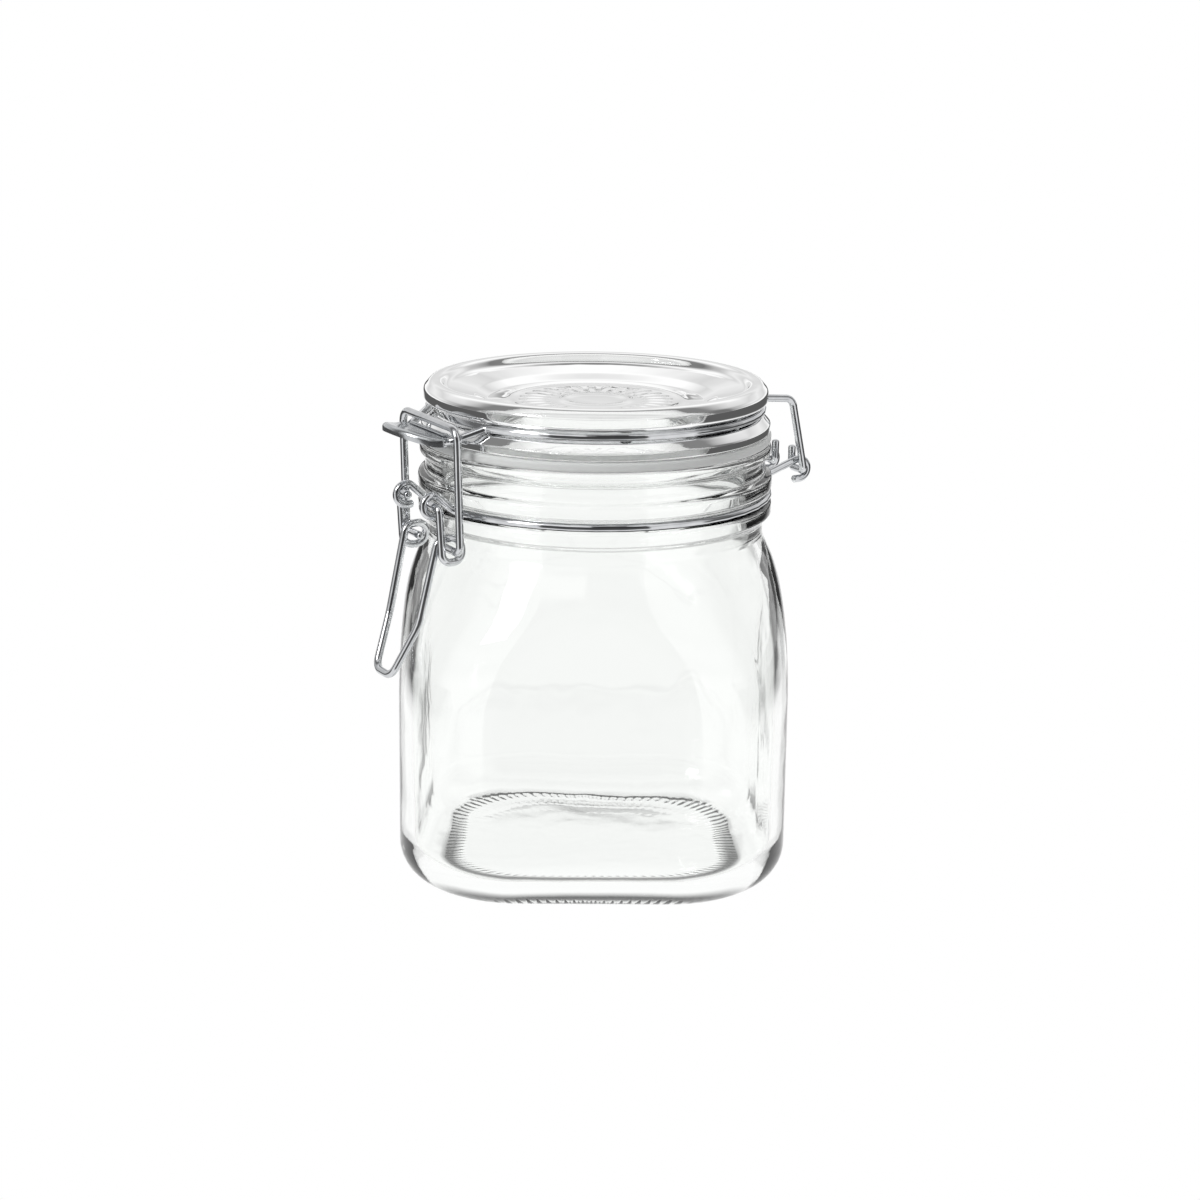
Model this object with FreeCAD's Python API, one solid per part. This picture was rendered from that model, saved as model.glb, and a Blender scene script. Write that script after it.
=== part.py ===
import FreeCAD, Part
import math
import os

# Storage jar with a hinged lid held shut by an over-centre wire clamp.
# Millimetres. +Z is up, the origin is on the jar's axis at the table.
# The clamp is on the -Y side, the hinge on the +Y side, every joint turns about X.

V = FreeCAD.Vector
Z_AXIS = V(0, 0, 1)

# --- driving dimensions ---------------------------------------------------
WIRE = 2.2                  # diameter of every bent wire
BODY_HALF = 54.9            # half the width across two flats of the body
BODY_REACH = 63.5           # axis to the rounded corner of the body
BODY_TURN = -28.7           # the body's flats are turned this far from the closure
WALL, FLOOR = 4.0, 3.5
HEEL, INNER_HEEL = 11.0, 10.5   # rounding between the base and the sides
PUSH_UP, PUSH_UP_RADIUS = 1.8, 38.0   # hollow under the base: its depth and rim
SHOULDER_FOOT = 30.0        # the sides are plain up to here
NECK_FOOT, NECK_RADIUS = 97.0, 47.9
BORE_RADIUS = 43.5
MOUTH = 123.0               # height of the rim
HEIGHT = 140.0              # height of the closed jar
BAND_RADIUS, BAND_Z = 49.2, 108.4           # wire ring in the neck groove
LID_BAND_RADIUS, LID_BAND_Z = 47.0, 132.6   # wire ring in the lid groove

PIVOT = (-55.4, 110.6)      # lever pivot (Y, Z)
CLAMP_PIN = (-51.3, 98.4)   # clamp pivot on the lever (Y, Z)
EAR_X = 8.4                 # eyes that hold the lever
CRANK_X, COIL_X = 12.3, 10.0    # lever crank, and where its coil ends
COIL_RADIUS = 3.2
HANDLE_BEND, HANDLE_TIP = (9.2, -60.2, 77.8), (4.9, -66.7, 62.9)
LEG_X = 16.7                # legs of the clamp
BAR = (-52.2, 132.8)        # cross bar of the clamp (Y, Z)
BARREL = (-52.6, 128.7)     # rolled edge of the tongue (Y, Z)
BARREL_RADIUS, BARREL_HALF = 1.95, 10.5
TONGUE_TIP = -64.6
SHEET = 0.8                 # thickness of the tongue's sheet
HINGE = (64.1, 109.6)       # lid hinge (Y, Z)
HINGE_X, ARM_X = 8.2, 10.8  # eyes on the jar, arms on the lid
ARM_TOP = (59.3, 131.3)     # upper bend of the arms (Y, Z)
TAIL_X, TAIL = 4.4, 6.5     # ends of the arms, turned up behind the jar
EYE_RADIUS = 2.9
SLACK = 0.05                # keeps a bend shorter than its corner, and the wire free in the barrel

# height, half width across the flats, reach at the corners
SHOULDER = [(SHOULDER_FOOT, BODY_HALF, BODY_REACH), (38, BODY_HALF, BODY_REACH), (46, 54.9, 63.45),
            (60, 54.8, 62.8), (69, 54.5, 60.8), (77, 53.9, 57.5), (82, 53.2, 54.9), (87, 51.9, 52.5),
            (91, 50.4, 50.7), (94, 49.0, 49.15), (NECK_FOOT, NECK_RADIUS, NECK_RADIUS + 0.12)]


# --- paths of straight runs joined by tangent arcs ---------------------------
def bent_edges(corners, closed=False):
    """Edges through (point, bend radius) corners; the bends are tangent arcs."""
    points = [V(*point) for point, _ in corners]
    count = len(points)
    starts, ends, arcs = {}, {}, {}
    for i in range(count):
        bend = corners[i][1]
        if bend <= 0 or (not closed and i in (0, count - 1)):
            starts[i] = ends[i] = points[i]
            continue
        before = (points[i - 1] - points[i]).normalize()
        after = (points[(i + 1) % count] - points[i]).normalize()
        half = before.getAngle(after) / 2
        run = bend / math.tan(half)
        middle = (before + after).normalize()
        starts[i] = points[i] + before * run
        ends[i] = points[i] + after * run
        arcs[i] = points[i] + middle * (bend / math.sin(half) - bend)
    edges = []
    for i in range(count):
        if i in arcs:
            edges.append(Part.Arc(starts[i], arcs[i], ends[i]).toShape())
        follower = (i + 1) % count
        if i == count - 1 and not closed:
            break
        if (starts[follower] - ends[i]).Length > 1e-6:
            edges.append(Part.LineSegment(ends[i], starts[follower]).toShape())
    return edges


def bent_wire(corners, diameter=WIRE):
    """Round wire following the corners, its cut ends left square."""
    edges = bent_edges(corners)
    path = Part.Wire(edges)
    along = V(*corners[1][0]) - V(*corners[0][0])
    circle = Part.Circle(V(*corners[0][0]), along, diameter / 2)
    solid = path.makePipeShell([Part.Wire([circle.toShape()])], True, False)
    length = sum(edge.Length for edge in edges)
    section = math.pi * diameter ** 2 / 4
    assert abs(solid.Volume / (length * section) - 1) < 0.02, solid.Volume / (length * section)
    return solid


def ring_corners(radius, z, first, last, steps):
    """Corners whose bends add up to a circular run from angle first to last (degrees)."""
    part = (last - first) / steps
    reach = radius / math.cos(math.radians(part / 2))
    corners = []
    for k in range(steps):
        angle = math.radians(first + part * (k + 0.5))
        corners.append(((reach * math.cos(angle), reach * math.sin(angle), z), radius * 0.9995))
    return corners


def mirrored(corners):
    return [((-x, y, z), bend) for (x, y, z), bend in reversed(corners)]


def revolved(corners):
    """Body of revolution of a closed profile given as ((radius, z), bend) corners."""
    edges = bent_edges([((r, 0, z), bend) for (r, z), bend in corners], closed=True)
    return Part.Face(Part.Wire(edges)).revolve(V(0, 0, 0), Z_AXIS, 360)


def rounded_square(half, reach, z):
    """Eight edges: four flats and four corner arcs, turned with the body."""
    bend = (half * math.sqrt(2) - reach) / (math.sqrt(2) - 1)
    flat = max(half - bend, 0.15)
    bend = half - flat
    edges = []
    for quarter in range(4):
        turn = FreeCAD.Rotation(Z_AXIS, 90 * quarter + BODY_TURN)
        low, high = V(half, -flat, z), V(half, flat, z)
        diagonal = flat + bend / math.sqrt(2)
        edges.append(Part.LineSegment(turn * low, turn * high).toShape())
        edges.append(Part.Arc(turn * high, turn * V(diagonal, diagonal, z),
                              turn * V(flat, half, z)).toShape())
    return Part.Wire(edges)


def rounded_body(inset, foot, heel):
    """Plain sides with a rounded heel, then a lofted shoulder up to the neck."""
    base = rounded_square(BODY_HALF - inset, BODY_REACH - inset, foot)
    block = Part.Face(base).extrude(V(0, 0, SHOULDER_FOOT - foot))
    low_edges = [e for e in block.Edges if abs(e.BoundBox.ZMax - foot) < 1e-6]
    block = block.makeFillet(heel, low_edges)
    sections = [rounded_square(half - inset, reach - inset, z) for z, half, reach in SHOULDER]
    return block.fuse(Part.makeLoft(sections, True, False))


# --- glass --------------------------------------------------------------------
def make_glass_jar():
    """Rounded-square body with a round neck, hollowed to an even wall, its base pushed up."""
    neck = revolved([((0, 96.0), 0), ((NECK_RADIUS - 1.5, 96.0), 0), ((NECK_RADIUS - 1.5, NECK_FOOT), 0),
                     ((NECK_RADIUS, NECK_FOOT), 0), ((NECK_RADIUS, 101.8), 0.8), ((50.2, 103.0), 1.2),
                     ((50.2, 106.7), 1.0), ((48.0, 107.3), 0.6), ((48.0, 109.6), 0.6),
                     ((50.2, 110.2), 1.0), ((50.2, 114.0), 1.2), ((48.2, 114.7), 0.8),
                     ((48.2, 119.3), 0.8), ((49.8, 120.0), 0.8), ((49.8, MOUTH), 1.3), ((0, MOUTH), 0)])
    jar = rounded_body(0, 0, HEEL).fuse(neck)
    cavity = rounded_body(WALL, FLOOR, INNER_HEEL)
    bore = revolved([((0, 96.9), 0), ((NECK_RADIUS - WALL, 96.9), 0), ((BORE_RADIUS, 99.5), 2),
                     ((BORE_RADIUS, MOUTH - 0.9), 0), ((BORE_RADIUS + 0.9, MOUTH + 0.5), 0),
                     ((0, MOUTH + 0.5), 0)])
    ball = (PUSH_UP_RADIUS ** 2 + PUSH_UP ** 2) / (2 * PUSH_UP)
    push_up = Part.makeSphere(ball, V(0, 0, PUSH_UP - ball))
    return jar.cut(cavity.fuse(bore)).cut(push_up).removeSplitter()


def make_glass_lid():
    """From the recessed top over the rim bead, the wire groove and the seal flange, to the hollow plug."""
    return revolved([((0, 134.0), 0), ((31.0, 134.0), 1.6), ((34.2, 135.6), 2.0), ((42.2, 137.5), 2.0),
                     ((43.6, HEIGHT), 1.5), ((46.6, HEIGHT), 2.0), ((48.6, 137.8), 2.0),
                     ((48.6, 134.4), 1.4), ((45.85, 133.8), 0.8), ((45.85, 131.4), 0.8),
                     ((47.4, 130.8), 0.8), ((49.4, 128.6), 1.0), ((49.4, 126.3), 0.6),
                     ((42.0, 126.3), 0.5), ((39.4, 119.0), 1.8), ((35.0, 119.0), 1.8),
                     ((31.6, 129.6), 2.5), ((0, 129.6), 0)])


def make_rubber_gasket():
    inner, outer, low, high, bend = 42.5, 49.7, 123.3, 126.1, 0.8
    return revolved([((r, z), bend) for r, z in ((inner, low), (outer, low), (outer, high), (inner, high))])


# --- wire parts ---------------------------------------------------------------
def eye_corners(x, centre, outward):
    """Eye round a pin, starting at its free end below and leaving over the top."""
    y, z = centre
    side = EYE_RADIUS * outward
    bend = EYE_RADIUS - SLACK
    return [((x, y - side * 0.75, z - EYE_RADIUS), 0), ((x, y + side, z - EYE_RADIUS), bend),
            ((x, y + side, z + EYE_RADIUS), bend), ((x, y - side * 0.35, z + EYE_RADIUS), 1.6)]


def tangent_exit(radius, leave, x):
    """Point (X, Y) where a ring, left along its tangent at this angle from the -Y axis, reaches X = x."""
    angle = math.radians(leave)
    slide = (radius * math.sin(angle) - x) / math.cos(angle)
    return x, -radius * math.cos(angle) - slide * math.sin(angle)


def make_neck_band():
    """Ring in the neck groove with its ends bent out to the lever's ears, and the hinge eyes behind."""
    leave, bend = 15.3, 2.4
    foot = (*tangent_exit(BAND_RADIUS, leave, EAR_X), BAND_Z)
    ear = eye_corners(EAR_X, PIVOT, -1) + [(foot, bend)]
    ring = ring_corners(BAND_RADIUS, BAND_Z, -90 + leave, 270 - leave, 6)
    band = bent_wire(ear + ring + mirrored(ear))
    back = BAND_RADIUS + WIRE - 4 * SLACK
    eye = eye_corners(HINGE_X, HINGE, 1) + [((HINGE_X, back, BAND_Z), bend)]
    return band.fuse(bent_wire(eye + mirrored(eye)))


def make_lid_band():
    """Two mirrored halves: through the tongue's roll, round the lid groove, then down a hinge arm."""
    y, z = BARREL
    front_leave, back_leave, run, bend = 24.5, 16.5, 2.2, 1.4
    angle = math.radians(front_leave)
    x = LID_BAND_RADIUS * math.sin(angle) - run * math.cos(angle)
    bend_out = (*tangent_exit(LID_BAND_RADIUS, front_leave, x), LID_BAND_Z)
    turn_x, turn_y = tangent_exit(LID_BAND_RADIUS, back_leave, ARM_X)
    front = [((0, y, z), 0), ((12.4, y, z), run), (bend_out, run)]
    ring = ring_corners(LID_BAND_RADIUS, LID_BAND_Z, -90 + front_leave, 90 - back_leave, 3)
    arm = [((turn_x, -turn_y, LID_BAND_Z), 1.1), ((ARM_X, *ARM_TOP), 3.0), ((ARM_X, *HINGE), bend),
           ((TAIL_X, *HINGE), bend), ((TAIL_X, HINGE[0], HINGE[1] + TAIL), 0)]
    right = bent_wire(front + ring + arm)
    return right.fuse(right.mirror(V(0, 0, 0), V(1, 0, 0))).removeSplitter()


def make_lid_tongue():
    """Leaf with a turned-down rim, its root rolled round the front wire of the lid band."""
    y, z = BARREL
    under, over = z - 10, z + 10
    plate = 0.5                    # underside of the leaf above the wire's centre
    rim_drop = 1.6                 # the rim hangs this far below the wire's centre
    widest, elbow = y - 1.8, y - 7.0

    def leaf(inset, root):
        """Prism on the leaf's outline, drawn in all round except at the root."""
        half = [((12.6 - inset, root, under), 0), ((14.2 - inset, widest, under), 1.5),
                ((10.6 - inset, elbow + inset, under), 5), ((4.4 - inset, TONGUE_TIP + inset, under), 3.4)]
        outline = Part.Wire(bent_edges(half + mirrored(half), closed=True))
        return Part.Face(outline).extrude(V(0, 0, over - under))

    def bent_strip(low, high):
        """Strip seen from the side: level at the root, turned up towards the tip."""
        root, bend, far, rise = y + 0.3, y - 4.6, y - 14.6, 3.4
        side = [((-20, root, low), 0), ((-20, bend, low), 14), ((-20, far, low + rise), 0),
                ((-20, far, high + rise), 0), ((-20, bend, high), 14), ((-20, root, high), 0)]
        return Part.Face(Part.Wire(bent_edges(side, closed=True))).extrude(V(40, 0, 0))

    top = z + plate + SHEET
    plain = leaf(0, y + 0.2)
    rim = plain.cut(leaf(SHEET, y + 4)).common(bent_strip(z - rim_drop, top))
    rim = rim.cut(Part.makeBox(40, 8, 12, V(-20, y - 1.0, z - 6)))
    barrel = Part.makeCylinder(BARREL_RADIUS, 2 * BARREL_HALF, V(-BARREL_HALF, y, z), V(1, 0, 0))
    wire_gap = Part.makeCylinder(WIRE / 2 + SLACK, 40, V(-20, y, z), V(1, 0, 0))
    return plain.common(bent_strip(z + plate, top)).fuse([rim, barrel]).cut(wire_gap).removeSplitter()


def make_lever_handle():
    """Each side: pin in the ear, crank, one coil round the clamp's pin, then the handle's leg."""
    (ay, az), (by, bz) = PIVOT, CLAMP_PIN
    r = COIL_RADIUS
    bend = r - 0.25
    drift = (CRANK_X - COIL_X) / 4
    half = [((EAR_X - 2.0, ay, az), 0), ((CRANK_X, ay, az), 1.5), ((CRANK_X, by - r, bz - r), bend),
            ((CRANK_X - drift, by + r, bz - r), bend), ((CRANK_X - 3 * drift, by + r, bz + r), bend),
            ((COIL_X, by - r - 0.2, bz + r), bend), (HANDLE_BEND, 14), (HANDLE_TIP, 4.0)]
    return bent_wire(half + mirrored(half))


def make_clamp_loop():
    """Loop over the tongue, its two ends turned in through the lever's coils."""
    half = [((COIL_X - 3.0, *CLAMP_PIN), 0), ((LEG_X, *CLAMP_PIN), 2.6), ((LEG_X, *BAR), 3.6)]
    return bent_wire(half + mirrored(half))


PARTS = {
    "glass_jar": make_glass_jar,
    "neck_band": make_neck_band,
    "glass_lid": make_glass_lid,
    "rubber_gasket": make_rubber_gasket,
    "lid_band": make_lid_band,
    "lid_tongue": make_lid_tongue,
    "lever_handle": make_lever_handle,
    "clamp_loop": make_clamp_loop,
}

os.makedirs("parts", exist_ok=True)
for name, make in PARTS.items():
    shape = make()
    if shape.ShapeType != "Solid" and len(shape.Solids) == 1:
        shape = shape.Solids[0]
    box = shape.BoundBox
    print(name, shape.ShapeType, shape.isValid(), len(shape.Solids), len(shape.Faces), round(shape.Volume, 1),
          [round(v, 2) for v in (box.XMin, box.YMin, box.ZMin, box.XMax, box.YMax, box.ZMax)])
    shape.exportStep("parts/%s.step" % name)
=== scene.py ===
import bpy
import math
import numpy as np
from mathutils import Matrix, Vector


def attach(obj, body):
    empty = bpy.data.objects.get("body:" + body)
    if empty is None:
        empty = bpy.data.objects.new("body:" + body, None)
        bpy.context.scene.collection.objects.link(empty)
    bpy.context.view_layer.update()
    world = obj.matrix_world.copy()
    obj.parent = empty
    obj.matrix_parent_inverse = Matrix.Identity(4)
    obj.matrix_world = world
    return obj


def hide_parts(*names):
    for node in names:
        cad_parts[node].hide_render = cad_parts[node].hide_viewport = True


# Glass storage jar with a hinged lid and an over-centre wire clamp.
# Sizes are in millimetres until mesh_piece turns them into metres.
# +Z is up, the clamp is at -Y and the hinge at +Y.

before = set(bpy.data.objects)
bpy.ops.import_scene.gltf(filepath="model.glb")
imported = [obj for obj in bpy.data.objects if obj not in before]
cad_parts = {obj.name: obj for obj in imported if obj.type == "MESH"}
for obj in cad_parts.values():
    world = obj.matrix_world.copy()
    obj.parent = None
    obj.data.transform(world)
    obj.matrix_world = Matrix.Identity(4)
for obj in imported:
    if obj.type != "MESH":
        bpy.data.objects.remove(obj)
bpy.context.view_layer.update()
MM = 0.001

# --- driving dimensions, the model's own but for the base's rise, crown and bars ------
WIRE = 2.2
BODY_HALF, BODY_REACH, BODY_TURN = 54.9, 63.5, -28.7
WALL, FLOOR, HEEL, INNER_HEEL = 4.0, 3.5, 11.0, 10.5
PUSH_UP, CROWN = 1.0, 0.4        # how far the base rises in the middle, outside and inside
BAR_COUNT, BAR_HEIGHT = 108, 0.30  # stippled ring under the base
SHOULDER = np.array([(30, 54.9, 63.5), (46, 54.9, 63.45), (60, 54.8, 62.8), (69, 54.5, 60.8),
                     (77, 53.9, 57.5), (82, 53.2, 54.9), (87, 51.9, 52.5), (91, 50.4, 50.7),
                     (94, 49.0, 49.15), (97, 47.9, 48.02)])
NECK, NECK_IN = 47.9, 43.9
MOUTH, BORE = 123.0, 43.5
LID_TOP, LID_UNDER = 134.0, 129.6  # upper and lower face in the lid's middle
BAND_RADIUS, BAND_Z = 49.2, 108.4
LID_BAND_RADIUS, LID_BAND_Z = 47.0, 132.6
EAR_LEAVE, FRONT_LEAVE, ARM_LEAVE = 15.3, 24.5, 16.5  # where the wires leave the rings, in degrees
PIVOT, CLAMP_PIN, HINGE = (-55.4, 110.6), (-51.3, 98.4), (64.1, 109.6)
BAR, BARREL = (-52.2, 132.8), (-52.6, 128.7)
EAR_X, CRANK_X, COIL_X, LEG_X, HINGE_X, ARM_X = 8.4, 12.3, 10.0, 16.7, 8.2, 10.8
HANDLE_BEND, HANDLE_TIP = (9.2, -60.2, 77.8), (4.9, -66.7, 62.9)
ARM_TOP = (59.3, 131.3)
COIL_RADIUS, EYE_RADIUS = 3.2, 2.9
TONGUE_TIP = -64.6
TAIL_X, TAIL = 4.4, 6.5
TONGUE_HALF, ROLL_HALF = 13.7, 10.3
SHEET = 0.8
SLACK = 0.05                     # between a pin and what wraps round it
ARC_STEP = 0.16                  # radians between the points of a bend


# --- meshes ---------------------------------------------------------------------------
def mesh_piece(name, points, faces, body, nodes, material, uv=None):
    """A mesh from points in millimetres, faces outwards, riding on a body in place of CAD nodes."""
    mesh = bpy.data.meshes.new(name)
    mesh.from_pydata((points * MM).tolist(), [], faces)
    if uv is not None:
        layer = mesh.uv_layers.new(name="UVMap")
        corners = np.empty(len(mesh.loops), dtype=np.int32)
        mesh.loops.foreach_get("vertex_index", corners)
        layer.data.foreach_set("uv", uv[corners].ravel())
    mesh.polygons.foreach_set("use_smooth", [True] * len(mesh.polygons))
    mesh.update()
    piece = bpy.data.objects.new(name, mesh)
    bpy.context.scene.collection.objects.link(piece)
    piece.data.materials.append(material)
    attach(piece, body)
    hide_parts(*nodes)
    return piece


def grid_faces(rows, columns):
    """Quads of a grid whose columns close round, between one point below and one above.

    Point 0 is the first pole, then come the rows, then the last pole."""
    row, column = np.meshgrid(np.arange(rows - 1), np.arange(columns), indexing="ij")
    here = 1 + row * columns + column
    beside = 1 + row * columns + (column + 1) % columns
    quads = np.stack([here, beside, beside + columns, here + columns], -1).reshape(-1, 4)
    ring = np.arange(columns)
    last = 1 + (rows - 1) * columns
    first_fan = np.stack([np.zeros(columns, int), 1 + (ring + 1) % columns, 1 + ring], -1)
    last_fan = np.stack([np.full(columns, last + columns), last + ring, last + (ring + 1) % columns], -1)
    return quads.tolist() + first_fan.tolist() + last_fan.tolist()


def rounded_profile(corners):
    """Points along straight runs whose corners are rounded by tangent arcs.

    Each corner is ((x, y[, z]), bend radius). An arc's centre lies bend / sin(half the angle) from
    the corner, on the line that halves its angle, and its points are at most ARC_STEP apart."""
    points = [np.array(point, float) for point, _ in corners]
    path = [points[0]]
    for i in range(1, len(points) - 1):
        bend = corners[i][1]
        before = points[i - 1] - points[i]
        after = points[i + 1] - points[i]
        before /= np.linalg.norm(before)
        after /= np.linalg.norm(after)
        half = math.acos(np.clip(before @ after, -1, 1)) / 2
        middle = (before + after) / np.linalg.norm(before + after)
        centre = points[i] + middle * bend / math.sin(half)
        turn = math.pi - 2 * half
        across = (after - before) / np.linalg.norm(after - before)
        angles = np.linspace(-turn / 2, turn / 2, max(1, math.ceil(turn / ARC_STEP)) + 1)
        path.extend(centre + bend * (np.outer(np.sin(angles), across) - np.outer(np.cos(angles), middle)))
    path = np.array(path + [points[-1]])
    keep = np.r_[True, np.linalg.norm(np.diff(path, axis=0), axis=1) > 1e-4]
    return path[keep]


def filled_in(path, longest):
    """The path with extra points, so that no step is longer than the given length."""
    steps = np.linalg.norm(np.diff(path, axis=0), axis=1)
    parts = [np.linspace(path[i], path[i + 1], max(2, int(math.ceil(steps[i] / longest)) + 1))[:-1]
             for i in range(len(steps))]
    return np.vstack(parts + [path[-1:]])


# --- glass shapes ---------------------------------------------------------------------
def square_radius(angle, half, reach):
    """Polar radius of a square with rounded corners: flats half away, corners reach away.

    On the flats it is half / cos(a), and round a corner it is the far crossing of the ray with
    the corner's circle, where a is the angle from the nearest flat's middle."""
    bend = (half * math.sqrt(2) - reach) / (math.sqrt(2) - 1)
    flat = np.maximum(half - bend, 0.0)
    bend = half - flat
    a = np.abs((angle - math.radians(BODY_TURN) + math.pi / 4) % (math.pi / 2) - math.pi / 4)
    along = flat * (np.cos(a) + np.sin(a))
    across = flat * (np.sin(a) - np.cos(a))
    corner = along + np.sqrt(np.maximum(bend ** 2 - across ** 2, 0))
    return np.where(np.tan(a) * half <= flat, half / np.cos(a), corner)


def smooth_table(z, column):
    """A smooth curve through the shoulder table: cubics whose slopes average the steps beside them."""
    zs, values = SHOULDER[:, 0], SHOULDER[:, column]
    slopes = np.gradient(values, zs)
    slopes[:2] = 0
    i = np.clip(np.searchsorted(zs, z) - 1, 0, len(zs) - 2)
    width = zs[i + 1] - zs[i]
    t = np.clip((z - zs[i]) / width, 0, 1)
    return ((1 + 2 * t) * (1 - t) ** 2 * values[i] + t * (1 - t) ** 2 * width * slopes[i]
            + t * t * (3 - 2 * t) * values[i + 1] + t * t * (t - 1) * width * slopes[i + 1])


def jar_rows():
    """(z, half, reach, kind) of each row, up the outside, over the mouth and down the inside.

    Kind 0 is the outside, kind 1 the stippled ring and kind 2 the inner wall."""
    flat, inner_flat = BODY_HALF - HEEL, BODY_HALF - WALL - INNER_HEEL
    ring_start = 0.83
    rows = []
    for share in (0.05, 0.3, 0.55, 0.75, ring_start):
        size = share * flat
        rows.append((PUSH_UP * (1 - (share / ring_start) ** 2), size, size + 0.1 + share * 4, 0))
    for share in np.linspace(0.86, 0.99, 9):
        rows.append((0, share * flat, share * flat + share * 7, 1))
    for t in np.linspace(0, math.pi / 2, 13):
        inset = HEEL * (1 - math.sin(t))
        rows.append((HEEL * (1 - math.cos(t)), BODY_HALF - inset, BODY_REACH - inset, 0))
    for z in np.r_[np.linspace(14, 46, 5), np.linspace(50, 97, 24)]:
        rows.append((z, float(smooth_table(z, 1)), float(smooth_table(z, 2)), 0))
    neck = rounded_profile([((NECK, 97.2), 0), ((NECK, 101.7), 1.4), ((50.2, 103.0), 1.2),
                            ((50.2, 106.7), 1.2), ((48.0, 107.3), 0.5), ((48.0, 109.6), 0.5),
                            ((50.2, 110.2), 1.2), ((50.2, 114.0), 1.4), ((48.2, 115.0), 1.0),
                            ((48.2, 119.1), 1.0), ((49.8, 120.1), 1.0), ((49.8, MOUTH), 1.4),
                            ((44.9, MOUTH), 0.9), ((BORE, 121.4), 1.5), ((BORE, 100.2), 3.0),
                            ((NECK_IN, 97.2), 1.5), ((NECK_IN, 97.0), 0)])
    rows += [(z, r, r, 0 if r > 44.6 else 2) for r, z in neck]
    for z in np.r_[np.linspace(96, 50, 22), np.linspace(46, 16, 5)]:
        rows.append((z, float(smooth_table(z, 1)) - WALL, float(smooth_table(z, 2)) - WALL, 2))
    for t in np.linspace(math.pi / 2, 0, 11):
        inset = INNER_HEEL * (1 - math.sin(t)) + WALL
        rows.append((FLOOR + INNER_HEEL * (1 - math.cos(t)), BODY_HALF - inset, BODY_REACH - inset, 2))
    for share in (0.9, 0.75, 0.55, 0.35, 0.15, 0.03):
        size = share * inner_flat
        rows.append((FLOOR + CROWN * (1 - share), size, size + share * 6 + 0.05, 2))
    return rows


def make_jar_glass(material):
    """Shell of r(angle, row) round the axis, whose rows come from jar_rows.

    The stippled ring lifts between radial bars, its height half less half the tanh of a cosine. The
    inner wall wanders by up to 0.3 mm, three slow waves round and up the jar, as blown glass does. The
    mould's two seams are fine grooves down opposite corners."""
    columns = 4 * BAR_COUNT
    rows = jar_rows()
    turn = np.linspace(0, 2 * math.pi, columns, endpoint=False)[None, :]
    z, half, reach, kind = [np.array(v, float)[:, None] for v in zip(*rows)]
    radius = square_radius(turn, half, reach)
    wave = (np.sin(2 * turn + 0.09 * z + 0.6) * 0.16 + np.sin(3 * turn - 0.05 * z + 2.1) * 0.10
            + np.sin(5 * turn + 0.13 * z) * 0.04)
    fade = np.clip((100 - z) / 20, 0, 1) * np.clip((z - 6) / 12, 0, 1)
    radius = radius + np.where(kind == 2, wave * fade, 0)
    from_seam = (turn - math.radians(BODY_TURN + 45) + math.pi / 2) % math.pi - math.pi / 2
    seam = 0.12 * np.exp(-(from_seam / 0.006) ** 2)
    radius = radius - np.where((kind == 0) & (z > 3) & (z < 100), seam, 0)
    ring = kind == 1
    within = ring & np.roll(ring, 1, 0) & np.roll(ring, -1, 0)
    bar = 0.5 - 0.5 * np.tanh(3.0 * np.cos(BAR_COUNT * turn))
    height = z + np.where(within, BAR_HEIGHT * bar, 0)
    shell = np.stack([radius * np.cos(turn), radius * np.sin(turn), height], -1)
    points = np.vstack([[[0, 0, PUSH_UP]], shell.reshape(-1, 3), [[0, 0, FLOOR + CROWN]]])
    return mesh_piece("jar_glass", points, grid_faces(len(rows), columns), "jar", ["glass_jar"],
                      material)


def spun(profile, columns, ripple=None):
    """Points of a profile ((radius, z) rows) turned round the axis, lifted by ripple(r, z, angle)."""
    angle = np.linspace(0, 2 * math.pi, columns, endpoint=False)[None, :]
    r, z = profile[:, :1], profile[:, 1:]
    lift = 0 * angle if ripple is None else ripple(r, z, angle)
    return np.stack([r * np.cos(angle), r * np.sin(angle), z + lift], -1).reshape(-1, 3)


def lid_relief(r, z, angle):
    """Low plain relief pressed in the lid's top: a ring of short flutes between two raised rings."""
    flutes = 0.20 * np.exp(-((r - 17.5) / 3.2) ** 4) * np.maximum(np.cos(28 * angle), -0.3)
    rings = 0.35 * np.exp(-((r - 24.5) / 1.3) ** 2) + 0.3 * np.exp(-((r - 9.0) / 1.0) ** 2)
    return np.where((z > 131) & (r < 29), flutes + rings, 0)


def make_lid_glass(material):
    """Profile from the middle of the top outwards, down the rim and groove, and back under the plug."""
    corners = [((0.4, LID_TOP), 0), ((31.0, LID_TOP), 1.6), ((34.2, 135.6), 2.0), ((42.2, 137.5), 2.0),
               ((43.6, 140.0), 1.5), ((46.6, 140.0), 2.0), ((48.6, 137.8), 2.0), ((48.6, 134.4), 1.5),
               ((45.85, 133.8), 0.6), ((45.85, 131.4), 0.6), ((47.4, 130.8), 1.0), ((49.4, 128.6), 1.0),
               ((49.4, 126.3), 0.6), ((42.0, 126.3), 0.8), ((39.4, 119.0), 2.0), ((35.0, 119.0), 2.0),
               ((31.6, LID_UNDER), 3.0), ((0.4, LID_UNDER), 0)]
    profile, columns = filled_in(rounded_profile(corners), 0.9), 392
    points = np.vstack([[[0, 0, LID_TOP]], spun(profile, columns, lid_relief), [[0, 0, LID_UNDER]]])
    return mesh_piece("lid_glass", points, grid_faces(len(profile), columns), "lid", ["glass_lid"],
                      material)


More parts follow.
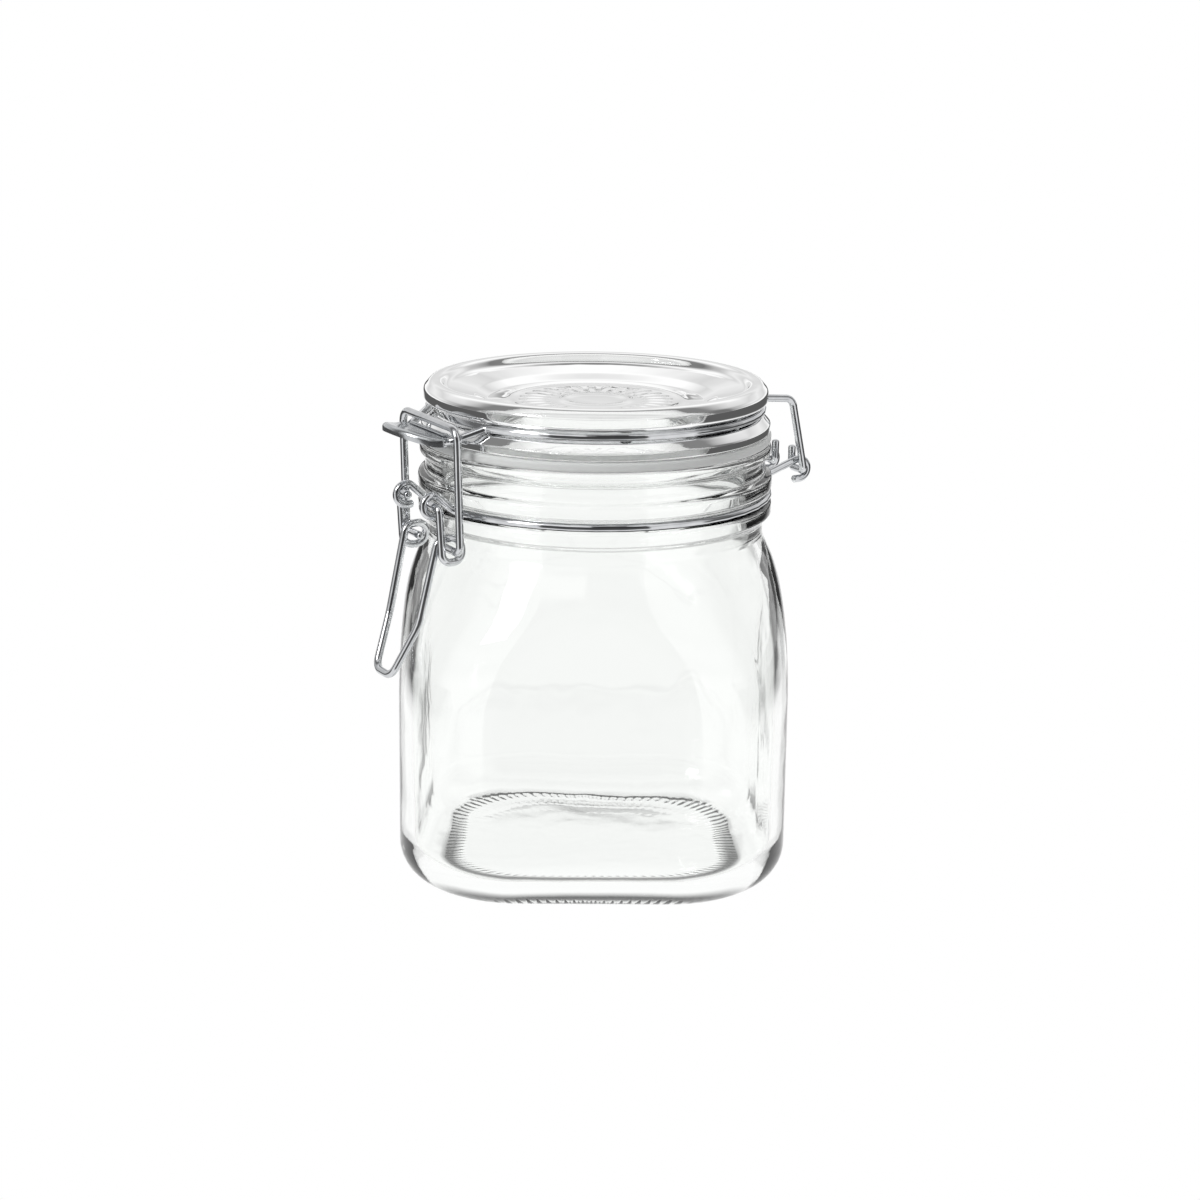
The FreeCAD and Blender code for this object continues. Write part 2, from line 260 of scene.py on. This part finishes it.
def make_gasket(material):
    """Flat ring, its section a rectangle with rounded corners."""
    corners = [((46.0, 123.3), 0), ((49.7, 123.3), 1.0), ((49.7, 126.1), 1.0), ((42.5, 126.1), 0.8),
               ((42.5, 123.3), 0.8), ((45.9, 123.3), 0)]
    profile, columns = filled_in(rounded_profile(corners), 0.8), 256
    row, column = np.meshgrid(np.arange(len(profile)), np.arange(columns), indexing="ij")
    next_row, next_column = (row + 1) % len(profile), (column + 1) % columns
    faces = np.stack([row * columns + column, row * columns + next_column,
                      next_row * columns + next_column, next_row * columns + column], -1).reshape(-1, 4)
    return mesh_piece("gasket_ring", spun(profile, columns), faces.tolist(), "lid", ["rubber_gasket"],
                      material)


# --- wire -----------------------------------------------------------------------------
def tube(path, radius, around=20):
    """Circle carried along the path: its frame is turned from step to step by the least turn.

    The ends are domed by a flattened quarter circle. Returns points, faces and a UV with metres along v."""
    path = filled_in(path, 3.0)
    tangent = np.gradient(path, axis=0)
    tangent /= np.linalg.norm(tangent, axis=1)[:, None]
    normal = np.cross(tangent[0], [0.31, 0.47, 0.83])
    normals = []
    for t in tangent:
        normal = normal - t * (normal @ t)
        normal = normal / np.linalg.norm(normal)
        normals.append(normal)
    normals = np.array(normals)
    bend = np.linspace(math.pi / 2, 0, 5)[1:] - 1e-3
    dome = 0.55 * radius
    start = path[0] + np.outer(dome * (1 - np.sin(bend)), tangent[0])
    end = path[-1] - np.outer(dome * (1 - np.sin(bend[::-1])), tangent[-1])
    inner = path[1:-1]
    centres = np.vstack([start, inner, end])
    size = np.r_[radius * np.cos(bend), np.full(len(inner), radius), radius * np.cos(bend[::-1])]
    repeats = np.r_[len(bend), np.ones(len(inner), int), len(bend)]
    side, along = np.repeat(normals, repeats, 0), np.repeat(tangent, repeats, 0)
    other = np.cross(along, side)
    angle = np.linspace(0, 2 * math.pi, around, endpoint=False)
    shell = (centres[:, None] + size[:, None, None] * (np.cos(angle)[None, :, None] * side[:, None]
                                                       + np.sin(angle)[None, :, None] * other[:, None]))
    points = np.vstack([path[:1], shell.reshape(-1, 3), path[-1:]])
    run = np.r_[0, np.cumsum(np.linalg.norm(np.diff(centres, axis=0), axis=1))] * MM
    uv = np.stack(np.broadcast_arrays(np.arange(around)[None, :] / around, run[:, None]), -1).reshape(-1, 2)
    uv = np.vstack([[[0, 0]], uv, [[0, run[-1]]]])
    return points, grid_faces(len(centres), around), uv


def wire_piece(name, corners, body, nodes, material):
    """One bent wire along its corners."""
    points, faces, uv = tube(rounded_profile(corners), WIRE / 2)
    return mesh_piece(name, points, faces, body, nodes, material, uv)


def mirrored(corners):
    """The corners on the other side of the middle, in reverse order."""
    return [((-x, y, z), bend) for (x, y, z), bend in reversed(corners)]


def ring_corners(radius, z, first, last, steps):
    """Corners whose bends add up to a circular run from angle first to last, in degrees."""
    part = (last - first) / steps
    reach = radius / math.cos(math.radians(part / 2))
    angles = np.radians(first + part * (np.arange(steps) + 0.5))
    return [((reach * math.cos(a), reach * math.sin(a), z), radius * 0.9995) for a in angles]


def eye_corners(x, centre, outward):
    """Eye round a pin, from its free end below to its exit over the top."""
    y, z = centre
    side = EYE_RADIUS * outward
    bend = EYE_RADIUS - SLACK
    return [((x, y - side * 0.75, z - EYE_RADIUS), 0), ((x, y + side, z - EYE_RADIUS), bend),
            ((x, y + side, z + EYE_RADIUS), bend), ((x, y - side * 0.35, z + EYE_RADIUS), 1.6)]


def tangent_exit(radius, leave, x):
    """Where the tangent at an angle from the -Y axis reaches the given x, as (x, y)."""
    a = math.radians(leave)
    slide = (radius * math.sin(a) - x) / math.cos(a)
    return x, -radius * math.cos(a) - slide * math.sin(a)


def make_neck_band(material):
    """Ring round the neck with an ear for each end of the lever, and the two hinge eyes behind."""
    foot = (*tangent_exit(BAND_RADIUS, EAR_LEAVE, EAR_X), BAND_Z)
    ear = eye_corners(EAR_X, PIVOT, -1) + [(foot, 2.4)]
    ring = ring_corners(BAND_RADIUS, BAND_Z, EAR_LEAVE - 90, 270 - EAR_LEAVE, 6)
    wire_piece("neck_wire", ear + ring + mirrored(ear), "jar", ["neck_band"], material)
    eye = eye_corners(HINGE_X, HINGE, 1) + [((HINGE_X, BAND_RADIUS + WIRE - 0.2, BAND_Z), 2.4)]
    wire_piece("hinge_eyes", eye + mirrored(eye), "jar", ["neck_band"], material)


def make_lid_band(material):
    """Ring in the lid's groove: a straight barrel under the tongue, and two arms down to the hinge."""
    bend, leave = 2.2, math.radians(FRONT_LEAVE)
    x = LID_BAND_RADIUS * math.sin(leave) - bend * math.cos(leave)
    bend_out = (*tangent_exit(LID_BAND_RADIUS, FRONT_LEAVE, x), LID_BAND_Z)
    turn_x, turn_y = tangent_exit(LID_BAND_RADIUS, ARM_LEAVE, ARM_X)
    front = [((12.4, *BARREL), bend), (bend_out, bend)]
    ring = ring_corners(LID_BAND_RADIUS, LID_BAND_Z, FRONT_LEAVE - 90, 90 - ARM_LEAVE, 3)
    arm = [((turn_x, -turn_y, LID_BAND_Z), 1.1), ((ARM_X, *ARM_TOP), 3.0), ((ARM_X, *HINGE), 1.4),
           ((TAIL_X, *HINGE), 1.4), ((TAIL_X, HINGE[0], HINGE[1] + TAIL), 0)]
    half = front + ring + arm
    wire_piece("lid_wire", mirrored(half) + half, "lid", ["lid_band"], material)


def make_lever(material):
    """Pin in the ear, crank down to a coil of one turn round the clamp's pin, then the handle's loop."""
    (ay, az), (by, bz) = PIVOT, CLAMP_PIN
    r, drift = COIL_RADIUS, (CRANK_X - COIL_X) / 4
    bend = r - 0.25
    half = [((EAR_X - 2.0, ay, az), 0), ((CRANK_X, ay, az), 1.5), ((CRANK_X, by - r, bz - r), bend),
            ((CRANK_X - drift, by + r, bz - r), bend), ((CRANK_X - 3 * drift, by + r, bz + r), bend),
            ((COIL_X, by - r - 0.2, bz + r), bend), (HANDLE_BEND, 14), (HANDLE_TIP, 4.0)]
    wire_piece("lever_wire", half + mirrored(half), "lever", ["lever_handle"], material)


def make_clamp(material):
    """Loop from a pin in each coil up both legs to the bar that rests on the tongue's roll."""
    half = [((COIL_X - 3.0, *CLAMP_PIN), 0), ((LEG_X, *CLAMP_PIN), 2.6), ((LEG_X, *BAR), 3.6)]
    wire_piece("clamp_wire", half + mirrored(half), "clamp", ["clamp_loop"], material)


# --- tongue ---------------------------------------------------------------------------
def sheet_shell(middle, thick):
    """Closed shell of a bent sheet: its middle surface moved half the thickness to both sides,
    with the rims joined."""
    du, dv = np.gradient(middle, axis=1), np.gradient(middle, axis=0)
    normal = np.cross(du, dv)
    normal /= np.linalg.norm(normal, axis=2)[:, :, None]
    top, low = middle + normal * thick / 2, middle - normal * thick / 2
    rows, columns = middle.shape[:2]
    points = np.concatenate([top, low[:, ::-1]], 1).reshape(-1, 3)
    count = 2 * columns
    row, column = np.meshgrid(np.arange(rows - 1), np.arange(count), indexing="ij")
    here, beside = row * count + column, row * count + (column + 1) % count
    sides = np.stack([here, beside, beside + count, here + count], -1).reshape(-1, 4)
    c = np.arange(columns - 1)
    rim = np.stack([c, c + 1, count - 2 - c, count - 1 - c], -1)
    return points, np.vstack([sides, rim[:, ::-1], (rows - 1) * count + rim]).tolist()


def finish_sheet(piece):
    """Normals outwards, then edges rounded by a small bevel."""
    mesh = piece.data
    mesh.calc_loop_triangles()
    places = np.empty(3 * len(mesh.vertices), dtype=np.float32)
    mesh.vertices.foreach_get("co", places)
    triangles = np.empty(3 * len(mesh.loop_triangles), dtype=np.int32)
    mesh.loop_triangles.foreach_get("vertices", triangles)
    a, b, c = places.reshape(-1, 3)[triangles.reshape(-1, 3)].transpose(1, 0, 2)
    if (a * np.cross(b, c)).sum() < 0:
        mesh.flip_normals()
    bevel = piece.modifiers.new("edge", "BEVEL")
    bevel.width, bevel.segments, bevel.limit_method, bevel.angle_limit = 0.18 * MM, 2, "ANGLE", 0.9


def make_tongue(material):
    """Leaf: across by u, outwards by v to the rim line, then down over the rim as a flange.

    The rim line is a rounded leaf outline, tip + (root - tip) * |u|**2.2, and the plate turns up a
    little towards the tip. The roll is an arc of the sheet round the lid's wire."""
    y0, z0 = BARREL
    root, plate_z, rise, bend = y0 - 1.0, z0 + 0.9, 2.4, 0.75
    u = np.linspace(-1, 1, 61)
    v = np.linspace(0, 1, 22)[:, None]
    x = TONGUE_HALF * np.sign(u) * (1 - (1 - np.abs(u)) ** 1.25)
    rim = TONGUE_TIP + SHEET / 2 + (y0 - 2.6 - TONGUE_TIP) * np.abs(u) ** 2.2
    y = root + (rim - root) * v
    z = plate_z + rise * np.clip((y0 - 4.0 - y) / 8.0, 0, 1) ** 1.3
    plate = np.stack([x[None, :] + 0 * v, y, z], -1)
    angle = np.r_[np.linspace(0, math.pi / 2, 6)[1:], math.pi / 2, math.pi / 2][:, None]
    drop = np.r_[np.zeros(5), 0.5, 1.0][:, None]
    outward = np.stack([0.25 * np.sign(x) * np.abs(u) ** 4, -np.ones_like(u), 0 * u], -1)
    outward /= np.linalg.norm(outward, axis=1)[:, None]
    flange = plate[-1] + outward * (bend * np.sin(angle))[:, :, None]
    flange[:, :, 2] -= bend * (1 - np.cos(angle)) + drop
    # the plate is drawn back from the rim line by the flange's bend, so that the flange ends on it
    plate[:, :, 1] += bend * v
    flange[:, :, 1] += bend
    points, faces = sheet_shell(np.vstack([plate, flange]), SHEET)
    finish_sheet(mesh_piece("tongue_leaf", points, faces, "lid", ["lid_tongue"], material))
    turn = np.radians(np.linspace(118, -215, 34))[:, None]
    across = np.linspace(-ROLL_HALF, ROLL_HALF, 12)[None, :]
    coil = WIRE / 2 + SHEET / 2 + SLACK
    roll = np.stack([across + 0 * turn, y0 + coil * np.cos(turn) + 0 * across,
                     z0 + coil * np.sin(turn) + 0 * across], -1)
    points, faces = sheet_shell(roll, SHEET)
    finish_sheet(mesh_piece("tongue_roll", points, faces, "lid", ["lid_tongue"], material))


# --- materials ------------------------------------------------------------------------
def colour(text):
    """sRGB hex to linear RGBA."""
    values = [int(text[i:i + 2], 16) / 255 for i in (0, 2, 4)]
    return [v / 12.92 if v <= 0.04045 else ((v + 0.055) / 1.055) ** 2.4 for v in values] + [1.0]


def add(tree, kind, settings=None, links=None):
    """Adds a node, sets its inputs or properties by name, and links its inputs from given sockets."""
    node = tree.nodes.new(kind)
    for name, value in (settings or {}).items():
        if name in node.inputs:
            node.inputs[name].default_value = value
        else:
            setattr(node, name, value)
    for name, socket in (links or {}).items():
        tree.links.new(socket, node.inputs[name])
    return node


def calculate(tree, operation, first, second=None):
    """Math node on a socket and, where given, a second socket or plain number."""
    node = add(tree, "ShaderNodeMath", {"operation": operation}, {0: first})
    if isinstance(second, float):
        node.inputs[1].default_value = second
    elif second is not None:
        tree.links.new(second, node.inputs[1])
    return node.outputs["Value"]


def between(tree, value, first, last, low=0.0, high=1.0):
    """Low at the first value, high at the last, straight between them and level past them."""
    limits = {"From Min": first, "From Max": last, "To Min": low, "To Max": high}
    return add(tree, "ShaderNodeMapRange", limits, {"Value": value}).outputs["Result"]


def product(tree, first, *others):
    """The values multiplied together."""
    for other in others:
        first = calculate(tree, "MULTIPLY", first, other)
    return first


def mixed(tree, share, first, second, blend="MIX"):
    """The first colour where the share is 0 and the second where it is 1; each is a value or a socket."""
    mix = add(tree, "ShaderNodeMix", {"data_type": "RGBA", "blend_type": blend})
    for place, value in ((0, share), (6, first), (7, second)):
        if isinstance(value, (float, list)):
            mix.inputs[place].default_value = value
        else:
            tree.links.new(value, mix.inputs[place])
    return mix.outputs[2]


def new_material(name):
    """An empty node material and its tree."""
    material = bpy.data.materials.new(name)
    material.use_nodes = True
    material.node_tree.nodes.clear()
    return material, material.node_tree


def pressed_glass(name, wave_mm, wave_height):
    """Pressed soda-lime glass: clear, fire-polished, with the faint waves of a mould's surface."""
    material, tree = new_material(name)
    place = add(tree, "ShaderNodeTexCoord")
    waves = add(tree, "ShaderNodeTexNoise", {"Scale": 1000 / wave_mm, "Detail": 1.5, "Roughness": 0.4},
                {"Vector": place.outputs["Object"]}).outputs["Fac"]
    bump = add(tree, "ShaderNodeBump", {"Strength": 0.35, "Distance": wave_height * MM}, {"Height": waves})
    glass = add(tree, "ShaderNodeBsdfPrincipled",
                {"Base Color": colour("FEFFFE"), "IOR": 1.52, "Transmission Weight": 1.0},
                {"Normal": bump.outputs["Normal"], "Roughness": between(tree, waves, 0.35, 0.8, 0.0, 0.03)})
    add(tree, "ShaderNodeOutputMaterial", links={"Surface": glass.outputs["BSDF"]})
    return material


def bright_zinc_wire():
    """Drawn steel wire with bright zinc plating: mirror-like, with fine lines along its length."""
    material, tree = new_material("bright_zinc_plated_wire")
    place = add(tree, "ShaderNodeTexCoord")
    # die lines 0.3 mm apart round the wire and tens of millimetres long
    stretch = add(tree, "ShaderNodeMapping", {"Scale": (23.0, 30.0, 1.0)}, {"Vector": place.outputs["UV"]})
    lines = add(tree, "ShaderNodeTexNoise", {"Scale": 1.0, "Detail": 3.0, "Roughness": 0.6},
                {"Vector": stretch.outputs["Vector"]}).outputs["Fac"]
    cloud = add(tree, "ShaderNodeTexNoise", {"Scale": 1000 / 6.0, "Detail": 4.0, "Roughness": 0.6},
                {"Vector": place.outputs["Object"]}).outputs["Fac"]
    shade = mixed(tree, between(tree, cloud, 0.3, 0.75), colour("DFE0E2"), colour("C4C6C9"))
    bump = add(tree, "ShaderNodeBump", {"Strength": 0.05, "Distance": 0.01 * MM}, {"Height": lines})
    metal = add(tree, "ShaderNodeBsdfPrincipled", {"Metallic": 1.0},
                {"Base Color": shade, "Roughness": between(tree, lines, 0.3, 0.8, 0.05, 0.16),
                 "Normal": bump.outputs["Normal"]})
    add(tree, "ShaderNodeOutputMaterial", links={"Surface": metal.outputs["BSDF"]})
    return material


def pressed_zinc_sheet():
    """Pressed steel sheet with bright zinc plating: a little duller than the wire, with fine streaks."""
    material, tree = new_material("pressed_zinc_plated_sheet")
    place = add(tree, "ShaderNodeTexCoord")
    grain = add(tree, "ShaderNodeMapping", {"Scale": (1000 / 0.5, 1000 / 6.0, 1000 / 0.5)},
                {"Vector": place.outputs["Object"]})
    streaks = add(tree, "ShaderNodeTexNoise", {"Scale": 1.0, "Detail": 3.0},
                  {"Vector": grain.outputs["Vector"]}).outputs["Fac"]
    cloud = add(tree, "ShaderNodeTexNoise", {"Scale": 1000 / 4.0, "Detail": 4.0},
                {"Vector": place.outputs["Object"]}).outputs["Fac"]
    metal = add(tree, "ShaderNodeBsdfPrincipled", {"Metallic": 1.0},
                {"Base Color": mixed(tree, cloud, colour("D2D4D6"), colour("B4B7BA")),
                 "Roughness": between(tree, streaks, 0.3, 0.8, 0.18, 0.28)})
    add(tree, "ShaderNodeOutputMaterial", links={"Surface": metal.outputs["BSDF"]})
    return material


def silicone_rubber():
    """Moulded translucent silicone: milky, soft sheen, faint cloudiness."""
    material, tree = new_material("moulded_silicone_rubber")
    place = add(tree, "ShaderNodeTexCoord")
    cloud = add(tree, "ShaderNodeTexNoise", {"Scale": 1000 / 9.0, "Detail": 3.0},
                {"Vector": place.outputs["Object"]}).outputs["Fac"]
    rubber = add(tree, "ShaderNodeBsdfPrincipled",
                 {"IOR": 1.41, "Subsurface Weight": 0.5, "Subsurface Radius": (0.003, 0.003, 0.003)},
                 {"Base Color": mixed(tree, cloud, colour("EDEEED"), colour("E2E4E3")),
                  "Roughness": between(tree, cloud, 0.0, 1.0, 0.35, 0.55)})
    add(tree, "ShaderNodeOutputMaterial", links={"Surface": rubber.outputs["BSDF"]})
    return material


# --- studio ---------------------------------------------------------------------------
CAMERA_AZIMUTH, CAMERA_PITCH, CAMERA_DISTANCE, CAMERA_ROLL = 60.3, 15.3, 0.766, 0.7
CAMERA_AIM = 0.07                      # height that the camera looks at
LENS, SENSOR = 79.65, 36.0
SHIFT_X, SHIFT_Y = 0.00567, 0.01533    # lens shift, as a part of the frame's width
LIGHT_AIM = 0.08
WEDGE_SLOPE = 0.67                     # tangent of 34 degrees
FAINT = 1.8                            # the wedge is 0.8 / 1.8 as strong to rays that leave the glass
TABLE_RADIUS, TABLE_DROP = 9.0, 0.0002


def towards(azimuth, elevation):
    """Unit vector out from the jar: azimuth from -Y towards +X, and elevation, in degrees."""
    a, e = math.radians(azimuth), math.radians(elevation)
    return Vector((math.sin(a) * math.cos(e), -math.cos(a) * math.cos(e), math.sin(e)))


def studio_axes(tree, vector):
    """How far a vector points to the studio's front and how far to its right, as two sockets."""
    a = math.radians(CAMERA_AZIMUTH)
    sockets = []
    for axis in ((math.sin(a), -math.cos(a), 0), (math.cos(a), math.sin(a), 0)):
        dot = add(tree, "ShaderNodeVectorMath", {"operation": "DOT_PRODUCT"}, {0: vector})
        dot.inputs[1].default_value = axis
        sockets.append(dot.outputs["Value"])
    return sockets


def grey(level):
    """Linear grey."""
    return [level, level, level, 1.0]


def grey_ramp(tree, value, stops):
    """Grey levels at places along a value, (place, level) in rising order, straight between them."""
    ramp = add(tree, "ShaderNodeValToRGB", links={"Fac": value})
    elements = ramp.color_ramp.elements
    for element, (place, level) in zip(elements, (stops[0], stops[-1])):
        element.position, element.color = place, grey(level)
    for place, level in stops[1:-1]:
        elements.new(place).color = grey(level)
    return ramp.outputs["Color"]


def past_wedge(tree, front, beside):
    """How far a place or direction lies outside a wedge that opens to the front."""
    return calculate(tree, "SUBTRACT", beside, calculate(tree, "MULTIPLY", front, WEDGE_SLOPE))


def make_floor():
    """A white light table. The camera sees it evenly white.

    What the glass and wire mirror of it is darker in three places: a wedge in front, fainter to rays
    that leave the glass; a flank on each side; and, as a contact shadow, a ring under the heel, where
    the fourth root of front**4 + right**4 is about 42 mm."""
    material, tree = new_material("white_light_table")
    place = add(tree, "ShaderNodeTexCoord")
    light = add(tree, "ShaderNodeLightPath")
    front, right = studio_axes(tree, place.outputs["Object"])
    beside = calculate(tree, "ABSOLUTE", right)
    wedge = product(tree, between(tree, past_wedge(tree, front, beside), -0.004, -0.010),
                    between(tree, front, 0.12, 0.18),
                    between(tree, light.outputs["Is Transmission Ray"], FAINT, 0.0))
    level = calculate(tree, "SUBTRACT", calculate(tree, "MULTIPLY", beside, 0.35), front)
    flank = product(tree, between(tree, beside, 0.18, 0.30), between(tree, level, -0.02, 0.02))
    # painted contact shadow: the floor's light is darkened in a ring under the jar's heel, which the glass
    # shows as a dark line along its base
    fourths = calculate(tree, "ADD", calculate(tree, "POWER", calculate(tree, "ABSOLUTE", front), 4.0),
                        calculate(tree, "POWER", beside, 4.0))
    reach = calculate(tree, "POWER", fourths, 0.25)
    heel = product(tree, between(tree, reach, 0.038, 0.041), between(tree, reach, 0.046, 0.043),
                   between(tree, front, -0.03, 0.01))
    dark = calculate(tree, "MAXIMUM", calculate(tree, "MAXIMUM", wedge, flank), heel)
    glow = calculate(tree, "MAXIMUM", between(tree, dark, 0.0, 1.0, 1.0, 0.1),
                     light.outputs["Is Camera Ray"])
    shine = add(tree, "ShaderNodeEmission", {"Color": colour("FFFFFF")}, {"Strength": glow})
    add(tree, "ShaderNodeOutputMaterial", links={"Surface": shine.outputs["Emission"]})
    mesh = bpy.data.meshes.new("floor")
    ring = np.linspace(0, 2 * math.pi, 96, endpoint=False)
    points = np.stack([TABLE_RADIUS * np.cos(ring), TABLE_RADIUS * np.sin(ring), 0 * ring - TABLE_DROP], -1)
    mesh.from_pydata(points.tolist(), [], [list(range(len(ring)))])
    floor = bpy.data.objects.new("floor", mesh)
    bpy.context.scene.collection.objects.link(floor)
    mesh.materials.append(material)


def make_world():
    """A bright studio: white behind and in front of the jar, dark to both sides, so that the edges of
    glass and wire read dark, and a dark wedge in front. The camera sees it evenly pale."""
    world = bpy.data.worlds.new("studio")
    bpy.context.scene.world = world
    world.use_nodes = True
    tree = world.node_tree
    tree.nodes.clear()
    way = add(tree, "ShaderNodeTexCoord").outputs["Generated"]
    light = add(tree, "ShaderNodeLightPath")
    front, right = studio_axes(tree, way)
    up = add(tree, "ShaderNodeSeparateXYZ", links={"Vector": way}).outputs["Z"]
    sides = grey_ramp(tree, between(tree, front, -1.0, 1.0),
                      [(0.0, 1.0), (0.2, 1.0), (0.34, 0.6), (0.42, 0.22), (0.54, 0.22), (0.60, 0.8),
                       (0.70, 1.0), (1.0, 1.0)])
    heights = grey_ramp(tree, up, [(0.0, 1.0), (0.05, 1.0), (0.14, 0.68), (0.28, 0.85), (0.40, 0.68),
                                   (0.6, 1.0), (1.0, 1.0)])
    even = mixed(tree, 1.0, sides, heights, "MULTIPLY")
    # the wedge is open above to the left, where a large white screen hangs
    beside = calculate(tree, "ABSOLUTE", right)
    unscreened = calculate(tree, "MAXIMUM", between(tree, up, 0.50, 0.44),
                           between(tree, right, -0.07, -0.03))
    wedge = product(tree, between(tree, past_wedge(tree, front, beside), 0.01, -0.01), unscreened,
                    between(tree, up, 0.95, 0.85),
                    between(tree, light.outputs["Is Transmission Ray"], FAINT, 0.0))
    lit = mixed(tree, wedge, even, grey(0.06))
    seen = mixed(tree, light.outputs["Is Camera Ray"], lit, grey(0.95))
    shade = add(tree, "ShaderNodeBackground", {"Strength": 1.0}, {"Color": seen})
    add(tree, "ShaderNodeOutputWorld", links={"Surface": shade.outputs["Background"]})


def area_light(name, azimuth, elevation, distance, size, power):
    """A rectangular softbox that faces the jar."""
    lamp = bpy.data.lights.new(name, "AREA")
    lamp.shape, lamp.size, lamp.size_y, lamp.energy = "RECTANGLE", size[0], size[1], power
    holder = bpy.data.objects.new(name, lamp)
    back = towards(azimuth, elevation)
    holder.location = Vector((0, 0, LIGHT_AIM)) + back * distance
    holder.rotation_euler = back.to_track_quat("Z", "Y").to_euler()
    bpy.context.scene.collection.objects.link(holder)


def make_camera():
    """A long lens, a little above the jar and turned by a small roll."""
    data = bpy.data.cameras.new("camera")
    data.sensor_width, data.lens = SENSOR, LENS
    data.clip_start, data.clip_end = 0.02, 40
    data.shift_x, data.shift_y = SHIFT_X, SHIFT_Y
    camera = bpy.data.objects.new("camera", data)
    back = towards(CAMERA_AZIMUTH, CAMERA_PITCH)
    camera.location = Vector((0, 0, CAMERA_AIM)) + back * CAMERA_DISTANCE
    roll = Matrix.Rotation(math.radians(CAMERA_ROLL), 4, back)
    camera.rotation_euler = (roll @ back.to_track_quat("Z", "Y").to_matrix().to_4x4()).to_euler()
    bpy.context.scene.collection.objects.link(camera)
    bpy.context.scene.camera = camera


# --- the jar --------------------------------------------------------------------------
make_jar_glass(pressed_glass("pressed_jar_glass", wave_mm=14.0, wave_height=0.5))
make_lid_glass(pressed_glass("pressed_lid_glass", wave_mm=10.0, wave_height=0.4))
make_gasket(silicone_rubber())
wire_finish = bright_zinc_wire()
make_neck_band(wire_finish)
make_lid_band(wire_finish)
make_lever(wire_finish)
make_clamp(wire_finish)
make_tongue(pressed_zinc_sheet())
make_floor()
make_world()
area_light("left_softbox", azimuth=CAMERA_AZIMUTH - 50, elevation=35, distance=1.1,
           size=(0.3, 0.5), power=4)
make_camera()
bpy.context.scene.view_settings.view_transform = "Standard"
